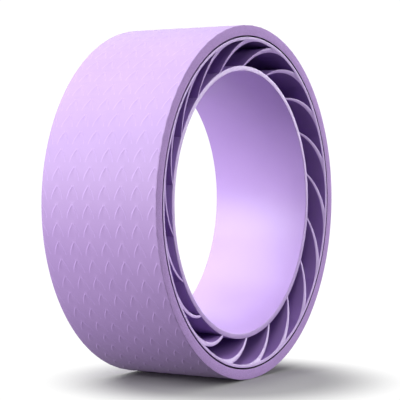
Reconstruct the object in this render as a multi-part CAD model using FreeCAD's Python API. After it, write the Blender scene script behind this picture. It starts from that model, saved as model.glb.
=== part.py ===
import FreeCAD, Part
import math
import os

# Yoga wheel: a foam mat strip wrapped round a double hoop, whose two rings are tied by swept vanes.
# Millimetres. The origin is the wheel's centre, +Y is its axle and +Z is up.
# Angles run clockwise from the top as seen from the -Y side.

# Whole wheel
wheel_diameter = 330.0
wheel_width = 121.0

# Foam mat strip, its two ends meeting in a butt seam
mat_thickness = 9.7
mat_corner_round = 0.6
mat_seam_gap = 0.4
seam_turn = math.radians(90)

# Adhesive film between the mat and the outer hoop, set back from the rim
film_thickness = 1.0
film_setback = 4.0
film_end_gap = 3.0

# Outer hoop, flush with the mat's edges
outer_hoop_wall = 3.3
outer_hoop_corner_round = 0.4

# Inner hoop, set back from the rim on both sides so that the faces are dished
inner_hoop_wall = 4.7
inner_hoop_corner_round = 0.4
bore_corner_round = 0.6
dish_depth = 8.0

# Swept vanes between the hoops
vane_count = 18
vane_gap_height = 23.4
vane_front_radius = 62.6
vane_back_radius = 64.5
vane_tip_width = 2.95
vane_root_depth = 4.2
vane_tail_thickness = 0.3
vane_edge_setback = 0.4
first_vane_turn = math.radians(-0.6)

# Fit of the bonded pieces, and what a cutting solid reaches past its work
bond_line = 0.05
overrun = 2.0

# Radii and half widths that follow from the sizes above
tread_radius = wheel_diameter / 2
mat_inner_radius = tread_radius - mat_thickness
outer_hoop_radius = mat_inner_radius - film_thickness
outer_hoop_inner_radius = outer_hoop_radius - outer_hoop_wall
inner_hoop_radius = outer_hoop_inner_radius - vane_gap_height
bore_radius = inner_hoop_radius - inner_hoop_wall
rim_half_width = wheel_width / 2
inner_hoop_half_width = rim_half_width - dish_depth

centre = FreeCAD.Vector(0, 0, 0)
axle = FreeCAD.Vector(0, 1, 0)


def at(radius, turn):
    """Point on the wheel's middle plane."""
    return FreeCAD.Vector(radius * math.sin(turn), 0, radius * math.cos(turn))


def corner(middle, direction_r, direction_y, size):
    """Quarter round between two sides of a section, about its own middle point."""
    reach = size * math.sqrt(0.5)
    along_r = middle + FreeCAD.Vector(0, 0, direction_r * size)
    halfway = middle + FreeCAD.Vector(0, direction_y * reach, direction_r * reach)
    along_y = middle + FreeCAD.Vector(0, direction_y * size, 0)
    return along_r, halfway, along_y


def rounded_section(low_radius, high_radius, half_width, low_round, high_round):
    """Section of a hoop at the top of the wheel, with its four corners rounded."""
    corners = []
    for direction_r, direction_y in ((1, -1), (1, 1), (-1, 1), (-1, -1)):
        size = high_round if direction_r > 0 else low_round
        side = high_radius if direction_r > 0 else low_radius
        middle = FreeCAD.Vector(0, direction_y * (half_width - size), side - direction_r * size)
        arc = corner(middle, direction_r, direction_y, size)
        # The outline runs one way round, so every other quarter is walked backwards
        corners.append(arc if direction_r == direction_y else arc[::-1])
    edges = []
    for number, (start, halfway, end) in enumerate(corners):
        edges.append(Part.Arc(start, halfway, end).toShape())
        next_start = corners[(number + 1) % len(corners)][0]
        edges.append(Part.LineSegment(end, next_start).toShape())
    return Part.Face(Part.Wire(edges))


def plain_section(low_radius, high_radius, low_half_width, high_half_width):
    """Section of a ring at the top of the wheel, with sharp corners and straight sides."""
    points = [
        FreeCAD.Vector(0, -low_half_width, low_radius),
        FreeCAD.Vector(0, -high_half_width, high_radius),
        FreeCAD.Vector(0, high_half_width, high_radius),
        FreeCAD.Vector(0, low_half_width, low_radius),
    ]
    return Part.Face(Part.makePolygon(points + points[:1]))


def hoop(section):
    return section.revolve(centre, axle, 360)


def strip(section, radius, end_gap):
    """Ring left open by a gap between its ends, which lies at the seam."""
    gap_turn = end_gap / radius
    section.rotate(centre, axle, math.degrees(seam_turn + gap_turn / 2))
    return section.revolve(centre, axle, math.degrees(2 * math.pi - gap_turn))


def tread_mat():
    section = rounded_section(mat_inner_radius, tread_radius, rim_half_width, mat_corner_round, mat_corner_round)
    return strip(section, tread_radius, mat_seam_gap)


def mat_adhesive():
    low = outer_hoop_radius + bond_line
    high = mat_inner_radius - bond_line
    half_width = rim_half_width - film_setback
    return strip(plain_section(low, high, half_width, half_width), high, film_end_gap)


def outer_hoop():
    return hoop(rounded_section(outer_hoop_inner_radius, outer_hoop_radius, rim_half_width,
                                outer_hoop_corner_round, outer_hoop_corner_round))


def inner_hoop():
    return hoop(rounded_section(bore_radius, inner_hoop_radius, inner_hoop_half_width,
                                bore_corner_round, inner_hoop_corner_round))


def front_turn(radius):
    """Where the vane's front flank, an arc that runs out tangent to the outer hoop, crosses a radius."""
    centre_radius = outer_hoop_inner_radius - vane_front_radius

    def turn_from_centre(reach):
        squares = reach ** 2 + centre_radius ** 2 - vane_front_radius ** 2
        return math.acos(squares / (2 * reach * centre_radius))

    return turn_from_centre(inner_hoop_radius) - turn_from_centre(radius)


def arc_through(start, end, radius):
    """Arc between two points that bulges to the vane's back."""
    chord = end - start
    half = chord.Length / 2
    rise = radius - math.sqrt(radius ** 2 - half ** 2)
    outward = chord.cross(axle).normalize()
    return Part.Arc(start, (start + end) / 2 + outward * rise, end)


def vane_outline():
    """Outline of one leaf: a tip on the inner hoop, two flanks, and a foot along the outer hoop."""
    tip_radius = inner_hoop_radius + bond_line
    foot_radius = outer_hoop_inner_radius - bond_line
    tail_radius = foot_radius - vane_tail_thickness
    middle_radius = (tip_radius + tail_radius) / 2

    front_tip_turn = front_turn(tip_radius)
    back_tip_turn = front_tip_turn - vane_tip_width / tip_radius
    tail_turn = front_turn(tail_radius)
    root_turn = front_turn(outer_hoop_inner_radius - vane_root_depth)

    front_tip = at(tip_radius, front_tip_turn)
    front_middle = at(middle_radius, front_turn(middle_radius))
    tail = at(tail_radius, tail_turn)
    tail_on_hoop = at(foot_radius, tail_turn)
    foot_middle = at(foot_radius, (tail_turn + root_turn) / 2)
    root = at(foot_radius, root_turn)
    back_tip = at(tip_radius, back_tip_turn)
    tip_middle = at(tip_radius, (back_tip_turn + front_tip_turn) / 2)

    edges = [
        Part.Arc(front_tip, front_middle, tail),
        Part.LineSegment(tail, tail_on_hoop),
        Part.Arc(tail_on_hoop, foot_middle, root),
        arc_through(back_tip, root, vane_back_radius),
        Part.Arc(back_tip, tip_middle, front_tip),
    ]
    outline = Part.Wire(Part.__sortEdges__([edge.toShape() for edge in edges]))
    return Part.Face(outline)


def vane():
    """One leaf, its long edges sloped from the rim down to the inner hoop."""
    leaf = vane_outline()
    leaf.translate(axle * -wheel_width)
    leaf = leaf.extrude(axle * 2 * wheel_width)

    slope = dish_depth / vane_gap_height
    low_half_width = inner_hoop_half_width - vane_edge_setback - slope * overrun
    high_half_width = rim_half_width - vane_edge_setback + slope * overrun
    low_radius = inner_hoop_radius - overrun
    high_radius = outer_hoop_inner_radius + overrun
    dish = hoop(plain_section(low_radius, high_radius, low_half_width, high_half_width))
    return leaf.common(dish).Solids[0]


def vanes():
    leaf = vane()
    nodes = {}
    for number in range(vane_count):
        copy = leaf.copy()
        turn = first_vane_turn + number * 2 * math.pi / vane_count
        copy.rotate(centre, axle, math.degrees(turn))
        nodes["vane_%02d" % (number + 1)] = copy
    return nodes


nodes = {
    "tread_mat": tread_mat(),
    "mat_adhesive": mat_adhesive(),
    "outer_hoop": outer_hoop(),
    "inner_hoop": inner_hoop(),
}
nodes.update(vanes())

os.makedirs("parts", exist_ok=True)
for name, shape in nodes.items():
    shape.exportStep("parts/%s.step" % name)
    print(name, "valid", shape.isValid(), "volume", round(shape.Volume, 1))
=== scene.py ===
import math

import bmesh
import bpy
from mathutils import Matrix, Vector


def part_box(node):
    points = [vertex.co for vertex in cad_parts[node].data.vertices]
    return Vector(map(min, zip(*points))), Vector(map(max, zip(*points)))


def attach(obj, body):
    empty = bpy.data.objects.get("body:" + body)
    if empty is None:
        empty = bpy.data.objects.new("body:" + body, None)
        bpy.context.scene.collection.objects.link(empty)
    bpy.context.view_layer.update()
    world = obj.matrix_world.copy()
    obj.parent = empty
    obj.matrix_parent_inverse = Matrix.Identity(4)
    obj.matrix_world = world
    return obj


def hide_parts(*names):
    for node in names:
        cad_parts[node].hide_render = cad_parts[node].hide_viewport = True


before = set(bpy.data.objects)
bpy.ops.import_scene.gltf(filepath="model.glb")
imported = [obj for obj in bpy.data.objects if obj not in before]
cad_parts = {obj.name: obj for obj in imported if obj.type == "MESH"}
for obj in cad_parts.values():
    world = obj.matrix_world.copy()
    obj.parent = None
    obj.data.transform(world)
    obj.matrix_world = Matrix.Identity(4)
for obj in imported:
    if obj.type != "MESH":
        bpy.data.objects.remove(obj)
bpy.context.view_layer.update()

# Yoga wheel in metres. The origin is the wheel's centre, +Y its axle and +Z up.
# Turns run clockwise from the top as seen from the -Y side, the side that faces the camera.
millimetre = 0.001
axle = Vector((0, 1, 0))
centre = Vector((0, 0, 0))


def radius_of(point):
    """Distance of a point from the axle."""
    return math.hypot(point.x, point.z)


def node_radius(node):
    """Largest distance of a CAD node's corners from the axle, which its box can miss."""
    return max(radius_of(vert.co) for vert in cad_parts[node].data.vertices)


# Sizes read from the CAD nodes
tread_radius = node_radius("tread_mat")
rim_half_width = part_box("tread_mat")[1][1]
outer_hoop_radius = node_radius("outer_hoop")
inner_hoop_radius = node_radius("inner_hoop")
inner_hoop_half_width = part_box("inner_hoop")[1][1]
vane_nodes = sorted(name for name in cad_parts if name.startswith("vane_"))

# Sizes of the two hoops
outer_hoop_wall = 3.3 * millimetre
outer_hoop_corner = 0.2 * millimetre
inner_hoop_wall = 4.7 * millimetre
inner_hoop_corner = 0.4 * millimetre
bore_corner = 0.6 * millimetre
groove_ease = 0.35 * millimetre
hoop_steps = 240
hoop_corner_steps = 4
outer_hoop_inner_radius = outer_hoop_radius - outer_hoop_wall

# The side faces of the outer hoop and of the vanes slope from the rim down to the inner hoop
rim_drop = 0.5 * millimetre
dish_half_width = rim_half_width - rim_drop
dish_slope = (dish_half_width - inner_hoop_half_width) / (outer_hoop_inner_radius - inner_hoop_radius)

# Sizes of a vane, whose front flank is an arc tangent to the outer hoop
vane_front_radius = 62.6 * millimetre
vane_back_radius = 64.5 * millimetre
vane_tip_width = 2.95 * millimetre
vane_root_depth = 4.2 * millimetre
vane_tail_thickness = 0.01 * millimetre
vane_edge_setback = 0.1 * millimetre
vane_corner = 0.25 * millimetre
vane_corner_steps = 2
vane_corner_angle = math.radians(50)
vane_root_in_hoop = 0.4 * millimetre
vane_tip_in_hoop = 0.1 * millimetre
first_vane_turn = math.radians(-0.6)
flank_steps = 28
foot_steps = 10
front_middle_radius = outer_hoop_inner_radius - vane_front_radius

# Sizes of the foam mat
mat_thickness = 9.6 * millimetre
mat_corner = 0.2 * millimetre
mat_corner_steps = 3
seam_turn = math.radians(90)
seam_gap = 0.1 * millimetre

# Lattice of pointed scale tips embossed on the tread, each a pair of bowed ridges that meet in a point
emboss_height = 0.24 * millimetre
scales_round = 63
scale_across = 16.85 * millimetre
first_scale_turn = math.radians(224.4)
first_scale_across = -6.7 * millimetre
ridge_reach = 5.4 * millimetre
ridge_outer_width = 1.1 * millimetre
ridge_inner_width = 3.0 * millimetre
inner_foot_parts = 3
pip_height_share = 0.3

# Each row of a scale: its share of the pitch from the point, and shares of the ridge's reach and height there
scale_rows = (
    (-0.07, 0.10, 0.0),
    (0.00, 0.05, 1.0),
    (0.10, 0.27, 1.0),
    (0.24, 0.55, 0.95),
    (0.42, 0.80, 0.8),
    (0.58, 0.94, 0.45),
    (0.70, 1.00, 0.0),
    (0.93, 0.10, 0.0),
)
point_row = 1
pip_row = 4

# Lines of one half of a scale from its middle out: inner foot, crest, outer foot and border
lines_per_half = 4
crest_line = 1
outer_foot_line = 2

# Angles in degrees above which an edge is left crisp
crisp_angle = 35
mat_crisp_angle = 50
ridge_crisp_angle = 4

# Distances within which points count as one
arc_weld = 0.001 * millimetre
sheet_weld = 0.01 * millimetre
border_tolerance = 0.002 * millimetre

# Places in the lists of materials: of a hoop or a vane, and of the mat
rim_place = 1
skin_place = 0
cut_place = 1
# Of the mat's places, the third is painted paler on the ridges' flanks, a painted highlight, and the fourth
# is painted near black, a painted shade in the groove
painted_highlight_place = 2
groove_shade_place = 3

# Least share of a rim face's normal that runs along the axle
rim_facing = 0.4

# Finishes: detail of the grain, values between which a shade changes, swing of the plastic's roughness
cloud_detail = 3.0
grain_detail = 4.0
noise_roughness = 0.6
shade_start = 0.3
shade_end = 0.7
plastic_swing = 0.04
foam_sheen = 0.12
foam_sheen_roughness = 0.4
cut_cell_scale = 1100

# Camera
camera_azimuth = math.radians(-58.5)
camera_elevation = math.radians(1.57)
camera_distance = 1418 * millimetre
camera_lens = 133.6
camera_sensor = 36
camera_reach = 100
aim_right = 2.3 * millimetre
aim_up = 1.5 * millimetre

# Floor: one colour for the eye, and a dimmer one for the light that it scatters
floor_size = 40
floor_roughness = 0.9
floor_colour = (0.32, 0.32, 0.32, 1)
floor_bounce = (0.10, 0.10, 0.10, 1)

# Glow of the floor, which only the wheel gets: near it, rising backwards and sideways, and far behind it
glow_strength = 0.66
glow_tint = (1, 0.87, 1.1, 1)
no_glow = (0, 0, 0, 1)
near_glow_start = -0.12
near_glow_end = 0.0
near_glow_side = 0.22
near_glow_share = 0.8
far_glow_start = 0.06
far_glow_end = 0.12

# Distances from a point on the floor between which it fades to plain white
fade_centre = (-0.02, -0.04, -tread_radius)
fade_start = 0.085
fade_end = 0.183

# Strength of the white surround for the eye, for reflections and as light
surround_seen = 1.05
surround_gloss = 0.3
surround_light = 0.0

# Softboxes, each by its name, azimuth and elevation in degrees, size and power
light_distance = 2.4
softboxes = (
    ("key", -128, 14, 1.2, 36.5),
    ("tread_key", -100, 18, 1.2, 10),
    ("high_key", -128, 32, 1.2, 18.5),
    ("high_left", -108, 55, 1.2, 9),
    ("back_key", -149, 50, 1.2, 24),
    ("back_top", 160, 47, 2.2, 28),
    ("near_left", -60, 40, 1.2, 12.5),
    ("side_fill", 60, 14, 1.2, 40),
    ("front_fill", 21, 14, 1.2, 24),
    ("top", 0, 88, 1.2, 26),
)


# Meshes


def at(radius, turn, across=0.0):
    """Point by its radius, its turn from the top and its place along the axle."""
    return Vector((radius * math.sin(turn), across, radius * math.cos(turn)))


def everything(bm):
    """All of a bmesh's parts, as an operator takes them."""
    return bm.verts[:] + bm.edges[:] + bm.faces[:]


def picked(items, kind):
    """The items of one kind among an operator's results."""
    return [item for item in items if isinstance(item, kind)]


def mark_sharp(bm, angle):
    """Keeps the edges crisp where two faces meet at more than an angle in degrees."""
    limit = math.radians(angle)
    bm.normal_update()
    for edge in bm.edges:
        if edge.calc_face_angle(0) > limit:
            edge.smooth = False


def mark_rims(bm):
    """Gives the rim's material, painted paler as a painted highlight, to the faces that look along the axle,
    with their rounds.
    """
    bm.normal_update()
    for face in bm.faces:
        if abs(face.normal.y) > rim_facing:
            face.material_index = rim_place


def hoop_mesh(low_radius, high_radius, low_half_width, high_half_width, low_corner, high_corner):
    """Hoop: a four-sided section with rounded corners, whose outline is spun about the axle."""
    bm = bmesh.new()
    places = [(low_radius, -low_half_width), (low_radius, low_half_width),
              (high_radius, high_half_width), (high_radius, -high_half_width)]
    verts = [bm.verts.new((0, across, radius)) for radius, across in places]
    bm.faces.new(verts)
    for corners, size in ((verts[:2], low_corner), (verts[2:], high_corner)):
        bmesh.ops.bevel(bm, geom=corners, offset=size, segments=hoop_corner_steps, profile=0.5,
                        affect="VERTICES", material=-1)
    bmesh.ops.delete(bm, geom=bm.faces[:], context="FACES_ONLY")
    bmesh.ops.spin(bm, geom=bm.verts[:] + bm.edges[:], cent=centre, axis=axle, angle=2 * math.pi,
                   steps=hoop_steps, use_merge=True)
    bmesh.ops.recalc_face_normals(bm, faces=bm.faces)
    mark_rims(bm)
    return bm


def arc_chain(bm, start, end, middle_of_arc, steps):
    """Chain of edges along an arc, made by turning its first vertex about the arc's middle."""
    to_start = start - middle_of_arc
    to_end = end - middle_of_arc
    turn = math.atan2(axle.dot(to_start.cross(to_end)), to_start.dot(to_end))
    first = bm.verts.new(start)
    bmesh.ops.spin(bm, geom=[first], cent=middle_of_arc, axis=axle, angle=turn, steps=steps)


def turn_from_middle(radius):
    """Turn between the middle of a vane's front flank and the flank's point at a radius."""
    squares = radius ** 2 + front_middle_radius ** 2 - vane_front_radius ** 2
    return math.acos(squares / (2 * radius * front_middle_radius))


def front_turn(radius):
    """Where a vane's front flank crosses a radius, counted from where it leaves the inner hoop."""
    return turn_from_middle(inner_hoop_radius) - turn_from_middle(radius)


def is_long_corner(edge):
    """Whether an edge of a leaf is a corner along one of its two side faces, clear of the outer hoop."""
    if len(edge.link_faces) != 2 or edge.calc_face_angle() <= vane_corner_angle:
        return False
    first, second = edge.verts
    same_side = first.co.y * second.co.y > 0
    reach = max(radius_of(first.co), radius_of(second.co))
    return same_side and reach < outer_hoop_inner_radius - 2 * vane_corner


def vane_mesh():
    """One leaf: both flanks and the foot as arcs, bridged, drawn out along the axle and edge-rounded."""
    tip_radius = inner_hoop_radius - vane_tip_in_hoop
    foot_radius = outer_hoop_inner_radius + vane_root_in_hoop
    tail_radius = outer_hoop_inner_radius - vane_tail_thickness

    front_tip = at(tip_radius, front_turn(tip_radius))
    tail = at(tail_radius, front_turn(tail_radius))
    root = at(foot_radius, front_turn(outer_hoop_inner_radius - vane_root_depth))
    tail_on_hoop = at(foot_radius, front_turn(tail_radius))
    back_tip = at(tip_radius, front_turn(tip_radius) - vane_tip_width / tip_radius)

    front_middle = at(front_middle_radius, turn_from_middle(inner_hoop_radius))
    chord = root - back_tip
    inward = axle.cross(chord).normalized()
    depth = math.sqrt(vane_back_radius ** 2 - (chord.length / 2) ** 2)
    back_middle = (root + back_tip) / 2 + inward * depth

    bm = bmesh.new()
    arc_chain(bm, front_tip, tail, front_middle, flank_steps + foot_steps)
    arc_chain(bm, back_tip, root, back_middle, flank_steps)
    arc_chain(bm, root, tail_on_hoop, centre, foot_steps)
    bmesh.ops.remove_doubles(bm, verts=bm.verts, dist=arc_weld)
    bmesh.ops.bridge_loops(bm, edges=bm.edges)

    bmesh.ops.translate(bm, verts=bm.verts, vec=-axle * rim_half_width)
    drawn = bmesh.ops.extrude_face_region(bm, geom=bm.faces)["geom"]
    far_verts = picked(drawn, bmesh.types.BMVert)
    bmesh.ops.translate(bm, verts=far_verts, vec=axle * 2 * rim_half_width)

    for vert in bm.verts:
        drop = dish_slope * (outer_hoop_inner_radius - radius_of(vert.co))
        vert.co.y = math.copysign(dish_half_width - vane_edge_setback - drop, vert.co.y)
    bmesh.ops.recalc_face_normals(bm, faces=bm.faces)

    long_corners = [edge for edge in bm.edges if is_long_corner(edge)]
    bmesh.ops.bevel(bm, geom=long_corners, offset=vane_corner, segments=vane_corner_steps, profile=0.5,
                    affect="EDGES", material=-1, clamp_overlap=True)
    mark_rims(bm)
    return bm


def scale_cell(scale_round):
    """One flat cell of the tread's lattice: a grid whose lines follow the two bowed ridges of a scale tip."""
    bm = bmesh.new()
    rows = len(scale_rows) - 1
    columns = 2 * lines_per_half - 1
    bmesh.ops.create_grid(bm, x_segments=rows, y_segments=columns, size=1)
    lines = {}
    for vert in bm.verts:
        row = round((vert.co.x + 1) / 2 * rows)
        column = round((vert.co.y + 1) / 2 * columns) - columns / 2
        line = int(abs(column))
        lines[vert] = line
        along, reach, height = scale_rows[row]
        crest = ridge_reach * reach
        inner_foot = max(crest - ridge_inner_width, crest / inner_foot_parts)
        across = (inner_foot, crest, crest + ridge_outer_width, scale_across / 2)
        point_lift = height if row == point_row else 0
        pip_lift = pip_height_share if row == pip_row else 0
        lift = (point_lift, height, 0, pip_lift)
        vert.co.x = -along * scale_round
        vert.co.y = math.copysign(across[line], column)
        vert.co.z = emboss_height * lift[line]

    # The ridges' outer flanks are painted paler, a painted highlight
    for face in bm.faces:
        on_flank = {lines[vert] for vert in face.verts} == {crest_line, outer_foot_line}
        if on_flank and any(vert.co.z > 0 for vert in face.verts):
            face.material_index = painted_highlight_place
    mark_sharp(bm, ridge_crisp_angle)
    return bm


def repeat_sheet(bm, step, count):
    """Lays copies of a whole sheet beside it, doubling it until there are at least as many as asked for."""
    made = 1
    while made < count:
        copy = bmesh.ops.duplicate(bm, geom=everything(bm))["geom"]
        bmesh.ops.translate(bm, verts=picked(copy, bmesh.types.BMVert), vec=step * made)
        made *= 2


def scale_sheet(half_width):
    """Flat sheet of scale tips that goes once round the tread, trimmed at the seam and at both sides."""
    around = 2 * math.pi * tread_radius
    scale_round = around / scales_round
    first_round = ((first_scale_turn - seam_turn) * tread_radius) % scale_round
    rows_below = math.ceil((half_width + first_scale_across) / scale_across)
    rows_above = math.ceil((half_width - first_scale_across) / scale_across)
    lowest_across = first_scale_across - rows_below * scale_across

    bm = scale_cell(scale_round)
    bmesh.ops.translate(bm, verts=bm.verts, vec=(first_round, lowest_across, 0))
    repeat_sheet(bm, Vector((0, scale_across, 0)), rows_below + rows_above + 1)
    repeat_sheet(bm, Vector((scale_round, 0, 0)), scales_round + 1)
    bmesh.ops.remove_doubles(bm, verts=bm.verts, dist=sheet_weld)

    trims = (
        ((seam_gap / 2, 0, 0), (-1, 0, 0)),
        ((around - seam_gap / 2, 0, 0), (1, 0, 0)),
        ((0, -half_width, 0), (0, -1, 0)),
        ((0, half_width, 0), (0, 1, 0)),
    )
    for place, normal in trims:
        bmesh.ops.bisect_plane(bm, geom=everything(bm), plane_co=place, plane_no=normal, clear_outer=True)
    return bm


def side_stations(half_width):
    """The mat's side from the tread to its back: places across, heights and places of the materials."""
    back = emboss_height - mat_thickness
    stations = []
    for step in range(1, mat_corner_steps + 1):
        turn = math.pi / 2 * step / mat_corner_steps
        across = half_width + mat_corner * math.sin(turn)
        stations.append((across, -mat_corner * (1 - math.cos(turn)), skin_place))
    for step in range(mat_corner_steps + 1):
        turn = math.pi / 2 * step / mat_corner_steps
        across = half_width + mat_corner * math.cos(turn)
        stations.append((across, back + mat_corner * (1 - math.sin(turn)), cut_place))
    return stations


def is_on_border(edge, place):
    """Whether an edge of the flat mat is open and lies at a place across."""
    return edge.is_boundary and all(abs(vert.co.y - place) < border_tolerance for vert in edge.verts)


def grow_side(bm, side, half_width):
    """Grows one side of the flat mat from its border down to its back, and gives the last edges."""
    edges = [edge for edge in bm.edges if is_on_border(edge, side * half_width)]
    for across, height, material in side_stations(half_width):
        grown = bmesh.ops.extrude_edge_only(bm, edges=edges)["geom"]
        verts = set(picked(grown, bmesh.types.BMVert))
        edges = [edge for edge in picked(grown, bmesh.types.BMEdge) if verts.issuperset(edge.verts)]
        for vert in verts:
            vert.co.y = side * across
            vert.co.z = height
        for face in picked(grown, bmesh.types.BMFace):
            face.material_index = material
    return edges


def mat_mesh():
    """The mat as a flat strip of scale tips, given sides, a back and ends, then wrapped round the wheel."""
    half_width = rim_half_width - mat_corner
    bm = scale_sheet(half_width)
    back_edges = grow_side(bm, -1, half_width) + grow_side(bm, 1, half_width)
    # The mat's back gets the near-black film finish, painted shade in the groove between mat and outer hoop
    for face in bmesh.ops.bridge_loops(bm, edges=back_edges)["faces"]:
        face.material_index = groove_shade_place
    open_edges = [edge for edge in bm.edges if edge.is_boundary]
    for face in bmesh.ops.holes_fill(bm, edges=open_edges, sides=0)["faces"]:
        face.material_index = cut_place

    ground_radius = tread_radius - emboss_height
    for vert in bm.verts:
        vert.co = at(ground_radius + vert.co.z, seam_turn + vert.co.x / tread_radius, vert.co.y)
    bmesh.ops.recalc_face_normals(bm, faces=bm.faces)
    return bm


# Shader nodes


def put(tree, socket, value):
    """Feeds a node's input from another node's output, or sets it to a plain value."""
    if isinstance(value, bpy.types.NodeSocket):
        tree.links.new(value, socket)
    else:
        socket.default_value = value


def calculated(tree, operation, *values):
    """Result of a Math node."""
    node = tree.nodes.new("ShaderNodeMath")
    node.operation = operation
    for socket, value in zip(node.inputs, values):
        put(tree, socket, value)
    return node.outputs["Value"]


def mixed(tree, kind, factor, first, second):
    """Result of a Mix node between two values or two colours."""
    node = tree.nodes.new("ShaderNodeMix")
    node.data_type = kind
    put(tree, node.inputs["Factor"], factor)
    put(tree, node.inputs["A"], first)
    put(tree, node.inputs["B"], second)
    return node.outputs["Result"]


def spread(tree, value, start, end, low=0.0, high=1.0, curve="LINEAR"):
    """Goes from low to high while a value goes from start to end, and stays level outside."""
    node = tree.nodes.new("ShaderNodeMapRange")
    node.interpolation_type = curve
    for name, limit in (("From Min", start), ("From Max", end), ("To Min", low), ("To Max", high)):
        node.inputs[name].default_value = limit
    tree.links.new(value, node.inputs["Value"])
    return node.outputs["Result"]


# Finishes


def tint(red, green, blue):
    """Linear colour of a colour given in display values from 0 to 255."""
    def linear(value):
        share = value / 255
        return share / 12.92 if share <= 0.04045 else ((share + 0.055) / 1.055) ** 2.4
    return (linear(red), linear(green), linear(blue), 1.0)


# The two shades between which each finish is clouded
# The vanes and the outer hoop's inside are painted darker than the rims and the bore, though all are one
# plastic: painted shade in the pockets
pocket_shade_vane_shades = (tint(146, 113, 183), tint(150, 117, 186))
# The bore and the inner hoop's outside are painted paler than the vanes of the same plastic: painted light
lit_bore_shades = (tint(180, 152, 210), tint(184, 156, 213))
# The faces that look along the axle are painted paler: painted highlight on the rims and vane edges
lit_rim_shades = (tint(173, 144, 203), tint(177, 148, 206))
skin_shades = (tint(157, 130, 182), tint(161, 134, 185))
# The ridges' outer flanks are painted paler than the skin: painted highlight
painted_highlight_shades = (tint(167, 139, 193), tint(171, 143, 196))
cut_shades = (tint(166, 136, 192), tint(182, 150, 208))
# Film and mat's back are painted near black: painted shade in the groove between mat and outer hoop
groove_shade_tints = (tint(20, 10, 30), tint(30, 18, 42))


def surface_grain_group():
    """Shared effect: slow clouds and fine grain over a surface, as values from 0 to 1."""
    group = bpy.data.node_groups.new("surface_grain", "ShaderNodeTree")
    group.interface.new_socket("Place", in_out="INPUT", socket_type="NodeSocketVector")
    group.interface.new_socket("Cloud Scale", in_out="INPUT", socket_type="NodeSocketFloat")
    group.interface.new_socket("Grain Scale", in_out="INPUT", socket_type="NodeSocketFloat")
    group.interface.new_socket("Clouds", in_out="OUTPUT", socket_type="NodeSocketFloat")
    group.interface.new_socket("Grain", in_out="OUTPUT", socket_type="NodeSocketFloat")
    entry = group.nodes.new("NodeGroupInput")
    result = group.nodes.new("NodeGroupOutput")
    noises = (("Clouds", "Cloud Scale", cloud_detail), ("Grain", "Grain Scale", grain_detail))
    for output, scale, detail in noises:
        noise = group.nodes.new("ShaderNodeTexNoise")
        noise.inputs["Detail"].default_value = detail
        noise.inputs["Roughness"].default_value = noise_roughness
        group.links.new(entry.outputs["Place"], noise.inputs["Vector"])
        group.links.new(entry.outputs[scale], noise.inputs["Scale"])
        group.links.new(noise.outputs["Fac"], result.inputs[output])
    return group


grain_group = surface_grain_group()


class Finish:
    """A material under construction: a Principled shader, Object coordinates and the shared grain."""

    def __init__(self, name, roughness, specular, cloud_scale, grain_scale):
        self.material = bpy.data.materials.new(name)
        self.material.use_nodes = True
        self.tree = self.material.node_tree
        self.shader = self.tree.nodes["Principled BSDF"]
        self.shader.inputs["Roughness"].default_value = roughness
        self.shader.inputs["Specular IOR Level"].default_value = specular
        self.place = self.tree.nodes.new("ShaderNodeTexCoord").outputs["Object"]
        effect = self.tree.nodes.new("ShaderNodeGroup")
        effect.node_tree = grain_group
        effect.inputs["Cloud Scale"].default_value = cloud_scale
        effect.inputs["Grain Scale"].default_value = grain_scale
        self.tree.links.new(self.place, effect.inputs["Place"])
        self.clouds = effect.outputs["Clouds"]
        self.grain = effect.outputs["Grain"]

    def shade(self, value, shades):
        """Base colour that goes from one shade to the other as a value rises."""
        ramp = self.tree.nodes.new("ShaderNodeValToRGB")
        for number, place in enumerate((shade_start, shade_end)):
            ramp.color_ramp.elements[number].position = place
            ramp.color_ramp.elements[number].color = shades[number]
        self.tree.links.new(value, ramp.inputs["Fac"])
        self.tree.links.new(ramp.outputs["Color"], self.shader.inputs["Base Color"])

    def vary_roughness(self, value, low, high):
        """Roughness that goes from low to high as a value goes from 0 to 1."""
        self.tree.links.new(spread(self.tree, value, 0, 1, low, high), self.shader.inputs["Roughness"])

    def bump(self, height, strength, distance):
        """Fine relief in the shading, by a height."""
        node = self.tree.nodes.new("ShaderNodeBump")
        node.inputs["Strength"].default_value = strength
        node.inputs["Distance"].default_value = distance
        self.tree.links.new(height, node.inputs["Height"])
        self.tree.links.new(node.outputs["Normal"], self.shader.inputs["Normal"])


def foam_skin(name, shades):
    """Closed-cell foam with a moulded skin: matte, faintly clouded, with a fine pebble."""
    finish = Finish(name, roughness=0.55, specular=0.5, cloud_scale=22, grain_scale=1500)
    finish.shade(finish.clouds, shades)
    finish.vary_roughness(finish.grain, low=0.5, high=0.62)
    finish.bump(finish.grain, strength=0.35, distance=0.15 * millimetre)
    finish.shader.inputs["Sheen Weight"].default_value = foam_sheen
    finish.shader.inputs["Sheen Roughness"].default_value = foam_sheen_roughness
    return finish.material


def foam_cut():
    """The mat's cut edge: open cells, rougher than the skin."""
    finish = Finish("foam_cut", roughness=0.9, specular=0.2, cloud_scale=60, grain_scale=900)
    finish.shade(finish.grain, cut_shades)
    cells = finish.tree.nodes.new("ShaderNodeTexVoronoi")
    cells.inputs["Scale"].default_value = cut_cell_scale
    finish.tree.links.new(finish.place, cells.inputs["Vector"])
    finish.bump(cells.outputs["Distance"], strength=0.6, distance=0.3 * millimetre)
    return finish.material


def moulded_plastic(name, roughness, specular, shades):
    """Satin moulded plastic of the hoops and vanes."""
    finish = Finish(name, roughness, specular, cloud_scale=14, grain_scale=2200)
    finish.shade(finish.clouds, shades)
    finish.vary_roughness(finish.clouds, low=roughness - plastic_swing, high=roughness + plastic_swing)
    finish.bump(finish.grain, strength=0.08, distance=0.05 * millimetre)
    return finish.material


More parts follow.
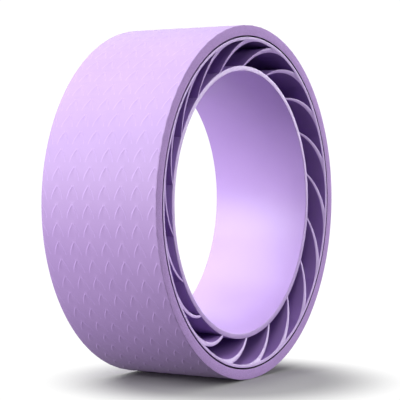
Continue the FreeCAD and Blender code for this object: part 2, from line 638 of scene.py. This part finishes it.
def adhesive_film_groove_shade():
    """Double-sided film under the mat, and the mat's back, painted near black: painted shade in the groove
    between mat and outer hoop.
    """
    finish = Finish("adhesive_film_groove_shade", roughness=0.8, specular=0.2, cloud_scale=40, grain_scale=1200)
    finish.shade(finish.clouds, groove_shade_tints)
    finish.bump(finish.grain, strength=0.3, distance=0.1 * millimetre)
    return finish.material


# The wheel


def add_piece(name, bm, materials, replaced, angle=crisp_angle):
    """Makes a finished piece of a bmesh, dressed, smoothed and riding on the wheel."""
    mark_sharp(bm, angle)
    for face in bm.faces:
        face.smooth = True
    mesh = bpy.data.meshes.new(name)
    bm.to_mesh(mesh)
    bm.free()
    for material in materials:
        mesh.materials.append(material)
    piece = bpy.data.objects.new(name, mesh)
    bpy.context.scene.collection.objects.link(piece)
    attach(piece, "root")
    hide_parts(replaced)
    return piece


def dress_wheel():
    """Puts a finished piece in the place of each CAD node but the film, which gets a finish."""
    # The vanes and the outer hoop's inside are painted darker than the rest of the same plastic: painted
    # shade in the pockets
    plastic = moulded_plastic("vane_plastic", roughness=0.44, specular=0.3, shades=pocket_shade_vane_shades)
    # The bore and the inner hoop's outside are painted paler: painted light
    bore_plastic_painted_light = moulded_plastic("bore_plastic_painted_light", roughness=0.36, specular=0.45, shades=lit_bore_shades)
    # The faces that look along the axle are painted paler: painted highlight on the rims and vane edges
    rim_plastic_painted_highlight = moulded_plastic("rim_plastic_painted_highlight", roughness=0.42, specular=0.4, shades=lit_rim_shades)
    skin = foam_skin("foam_skin", skin_shades)
    # The ridges' outer flanks are painted paler: painted highlight
    painted_highlight_skin = foam_skin("painted_highlight_foam_skin", painted_highlight_shades)
    cut = foam_cut()
    # The film and the mat's back are painted near black: painted shade in the groove
    film_and_groove_shade = adhesive_film_groove_shade()

    foam = [skin, cut, painted_highlight_skin, film_and_groove_shade]
    mat = add_piece("foam_mat", mat_mesh(), foam, "tread_mat", mat_crisp_angle)

    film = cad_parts["mat_adhesive"]
    film.data.materials.clear()
    film.data.materials.append(film_and_groove_shade)

    outer_hoop = hoop_mesh(outer_hoop_inner_radius, outer_hoop_radius - groove_ease, dish_half_width,
                           rim_half_width, outer_hoop_corner, outer_hoop_corner)
    add_piece("outer_ring", outer_hoop, [plastic, rim_plastic_painted_highlight], "outer_hoop")
    inner_hoop = hoop_mesh(inner_hoop_radius - inner_hoop_wall, inner_hoop_radius, inner_hoop_half_width,
                           inner_hoop_half_width, bore_corner, inner_hoop_corner)
    add_piece("inner_ring", inner_hoop, [bore_plastic_painted_light, rim_plastic_painted_highlight], "inner_hoop")

    leaf = vane_mesh()
    for number, node in enumerate(vane_nodes):
        copy = leaf.copy()
        turn = first_vane_turn + number * 2 * math.pi / len(vane_nodes)
        bmesh.ops.rotate(copy, verts=copy.verts, cent=centre, matrix=Matrix.Rotation(turn, 3, axle))
        add_piece("leaf" + node[-3:], copy, [plastic, rim_plastic_painted_highlight], node)
    leaf.free()


# The stage


def floor_finish():
    """Pale floor that glows back at the wheel, unseen, and that fades to plain white for the camera."""
    material = bpy.data.materials.new("pale_floor")
    material.use_nodes = True
    tree = material.node_tree
    shader = tree.nodes["Principled BSDF"]
    shader.inputs["Roughness"].default_value = floor_roughness
    shader.inputs["Specular IOR Level"].default_value = 0.0
    seen = tree.nodes.new("ShaderNodeLightPath").outputs["Is Camera Ray"]
    unseen = calculated(tree, "SUBTRACT", 1, seen)
    put(tree, shader.inputs["Base Color"], mixed(tree, "RGBA", seen, floor_bounce, floor_colour))

    # The floor gives back light as a bounce card would, less where the wheel stands
    place = tree.nodes.new("ShaderNodeTexCoord").outputs["Object"]
    split = tree.nodes.new("ShaderNodeSeparateXYZ")
    tree.links.new(place, split.inputs["Vector"])
    backwards = spread(tree, split.outputs["Y"], near_glow_start, near_glow_end)
    aside = calculated(tree, "ABSOLUTE", split.outputs["X"])
    sideways = spread(tree, aside, 0, near_glow_side, high=near_glow_share)
    near = calculated(tree, "MULTIPLY", backwards, sideways)
    far = spread(tree, split.outputs["Y"], far_glow_start, far_glow_end)
    glow = calculated(tree, "MULTIPLY", calculated(tree, "MAXIMUM", near, far), unseen)
    put(tree, shader.inputs["Emission Color"], mixed(tree, "RGBA", glow, no_glow, glow_tint))
    shader.inputs["Emission Strength"].default_value = glow_strength

    # Share of plain white by the distance from the wheel
    distance = tree.nodes.new("ShaderNodeVectorMath")
    distance.operation = "DISTANCE"
    distance.inputs[1].default_value = fade_centre
    tree.links.new(place, distance.inputs[0])
    fade = spread(tree, distance.outputs["Value"], fade_start, fade_end, curve="SMOOTHSTEP")
    white = tree.nodes.new("ShaderNodeEmission")
    white.inputs["Strength"].default_value = surround_seen
    mix = tree.nodes.new("ShaderNodeMixShader")
    tree.links.new(calculated(tree, "MULTIPLY", fade, seen), mix.inputs["Fac"])
    tree.links.new(shader.outputs["BSDF"], mix.inputs[1])
    tree.links.new(white.outputs["Emission"], mix.inputs[2])
    tree.links.new(mix.outputs["Shader"], tree.nodes["Material Output"].inputs["Surface"])
    return material


def floor():
    """Wide floor on which the wheel stands."""
    bm = bmesh.new()
    bmesh.ops.create_grid(bm, x_segments=1, y_segments=1, size=floor_size)
    bmesh.ops.translate(bm, verts=bm.verts, vec=(0, 0, -tread_radius))
    mesh = bpy.data.meshes.new("floor")
    bm.to_mesh(mesh)
    bm.free()
    mesh.materials.append(floor_finish())
    ground = bpy.data.objects.new("floor", mesh)
    bpy.context.scene.collection.objects.link(ground)


def surround():
    """Plain white surround, softer for reflections than for the eye."""
    world = bpy.data.worlds.new("studio")
    bpy.context.scene.world = world
    world.use_nodes = True
    tree = world.node_tree
    background = tree.nodes["Background"]
    background.inputs["Color"].default_value = (1, 1, 1, 1)
    path = tree.nodes.new("ShaderNodeLightPath")
    unseen = mixed(tree, "FLOAT", path.outputs["Is Glossy Ray"], surround_light, surround_gloss)
    strength = mixed(tree, "FLOAT", path.outputs["Is Camera Ray"], unseen, surround_seen)
    tree.links.new(strength, background.inputs["Strength"])


def from_wheel(azimuth, elevation):
    """Direction from the wheel's centre, by its turn from the -Y side and its height."""
    level = math.cos(elevation)
    return Vector((math.sin(azimuth) * level, -math.cos(azimuth) * level, math.sin(elevation)))


def softbox(name, azimuth, elevation, size, power):
    """Square area light that faces the wheel's centre."""
    light = bpy.data.lights.new(name, "AREA")
    light.size = size
    light.energy = power
    back = from_wheel(math.radians(azimuth), math.radians(elevation))
    lamp = bpy.data.objects.new(name, light)
    lamp.location = back * light_distance
    lamp.rotation_euler = back.to_track_quat("Z", "Y").to_euler()
    bpy.context.scene.collection.objects.link(lamp)


def camera():
    """Camera as fitted to the photograph, aimed a little beside the wheel's centre."""
    data = bpy.data.cameras.new("photo_view")
    data.lens = camera_lens
    data.sensor_width = camera_sensor
    data.clip_end = camera_reach
    back = from_wheel(camera_azimuth, camera_elevation)
    right = Vector((math.cos(camera_azimuth), math.sin(camera_azimuth), 0))
    up = back.cross(right)
    place = right * aim_right + up * aim_up + back * camera_distance
    view = bpy.data.objects.new("photo_view", data)
    view.matrix_world = Matrix.Translation(place) @ Matrix((right, up, back)).transposed().to_4x4()
    bpy.context.scene.collection.objects.link(view)
    bpy.context.scene.camera = view


def studio():
    """White studio, its lights and its camera."""
    bpy.context.scene.view_settings.view_transform = "Standard"
    surround()
    floor()
    for name, azimuth, elevation, size, power in softboxes:
        softbox(name, azimuth, elevation, size, power)
    camera()


dress_wheel()
studio()
